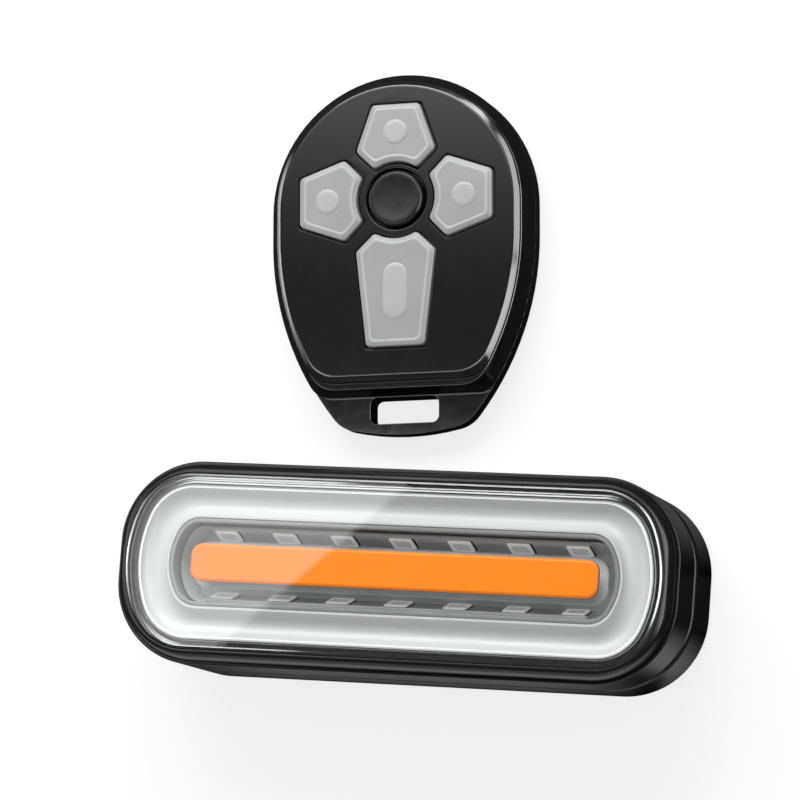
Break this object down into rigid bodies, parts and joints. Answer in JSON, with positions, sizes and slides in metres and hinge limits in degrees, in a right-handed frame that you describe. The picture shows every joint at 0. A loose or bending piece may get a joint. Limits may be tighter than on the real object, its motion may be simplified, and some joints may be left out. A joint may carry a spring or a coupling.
{
  "type": "bicycle turn signal light",
  "caption": "Oval bicycle rear turn signal lamp with a white light ring around an amber bar, and its egg-shaped wireless remote with direction keys.",
  "frame": {"origin": "centre of the lamp's flat back face, midway between its two rack bolts", "axes": "+X along the lamp, +Y across the lamp towards the remote, +Z out of the lens; both pieces lie on their backs"},
  "size_m": [0.099, 0.1071, 0.028],
  "materials": {
    "lamp_shell": "satin moulded black",
    "bezel_black": "semi-gloss moulded black",
    "clear_lens": "clear polycarbonate",
    "white_optic": "white diffusing plastic",
    "white_board": "white solder mask",
    "diode": "diode package",
    "clear_wall": "clear polycarbonate",
    "smoked_grey": "semi-gloss grey plastic",
    "grey_board": "grey solder mask",
    "amber_optic": "amber light guide",
    "green_board": "green solder mask",
    "bright_steel": "bright plated steel",
    "black_trim": "moulded black",
    "black_rubber": "black silicone",
    "foil_pouch": "aluminium foil pouch",
    "lead_red": "wire insulation",
    "brass_trim": "bright brass",
    "screw_steel": "zinc plated",
    "remote_gloss": "gloss black",
    "remote_face": "soft matte black",
    "grey_silicone": "grey silicone",
    "key_grey": "translucent grey",
    "centre_black": "gloss black"
  },
  "bodies": {
    "lamp": {"lamp_case": "lamp_shell", "rear_cover": "lamp_shell", "front_bezel": "bezel_black", "front_lens": "clear_lens", "lens_seal": "black_rubber", "light_ring": "white_optic", "ring_board": "white_board", "ring_leds": "diode", "well_wall": "clear_wall", "well_tray": "smoked_grey", "upper_led_board": "grey_board", "lower_led_board": "grey_board", "upper_leds": "diode", "lower_leds": "diode", "amber_bar": "amber_optic", "control_board": "green_board", "usb_socket": "bright_steel", "power_switch": "black_trim", "battery": "foil_pouch", "battery_leads": "lead_red", "receiver_can": "bright_steel", "board_link": "brass_trim", "joint_seal": "black_rubber", "case_screws": "screw_steel", "rack_inserts": "brass_trim"},
    "power_button": {"power_button": "black_rubber"},
    "port_flap": {"port_flap": "black_rubber"},
    "remote": {"remote_rear_shell": "remote_gloss", "remote_front_shell": "remote_gloss", "remote_face_plate": "remote_face", "key_mat": "grey_silicone", "remote_board": "green_board", "switch_domes": "bright_steel", "coin_cell": "bright_steel", "cell_contact": "brass_trim", "transmitter_chip": "black_trim", "remote_screws": "screw_steel"},
    "upper_key": {"upper_key": "key_grey"},
    "left_key": {"left_key": "key_grey"},
    "right_key": {"right_key": "key_grey"},
    "lower_key": {"lower_key": "key_grey"},
    "centre_button": {"centre_button": "centre_black"}
  },
  "joints": [
    {"name": "power_button_press", "type": "slide", "parent": "lamp", "child": "power_button", "axis": [0, -1, 0], "range_m": [0, 0.0006], "stiffness_N_per_m": 3000},
    {"name": "port_flap_swing", "type": "hinge", "parent": "lamp", "child": "port_flap", "pos_m": [-0.01845, 0.0167, 0.01803], "axis": [0, 0, 1], "range_deg": [0, 100]},
    {"name": "remote_lift", "type": "slide", "parent": "lamp", "child": "remote", "axis": [0, 0, 1], "range_m": [0, 0.06]},
    {"name": "upper_key_press", "type": "slide", "parent": "remote", "child": "upper_key", "axis": [0, 0, -1], "range_m": [0, 0.0008], "stiffness_N_per_m": 2000},
    {"name": "left_key_press", "type": "slide", "parent": "remote", "child": "left_key", "axis": [0, 0, -1], "range_m": [0, 0.0008], "stiffness_N_per_m": 2000},
    {"name": "right_key_press", "type": "slide", "parent": "remote", "child": "right_key", "axis": [0, 0, -1], "range_m": [0, 0.0008], "stiffness_N_per_m": 2000},
    {"name": "lower_key_press", "type": "slide", "parent": "remote", "child": "lower_key", "axis": [0, 0, -1], "range_m": [0, 0.0008], "stiffness_N_per_m": 2000},
    {"name": "centre_button_press", "type": "slide", "parent": "remote", "child": "centre_button", "axis": [0, 0, -1], "range_m": [0, 0.0008], "stiffness_N_per_m": 2000}
  ]
}
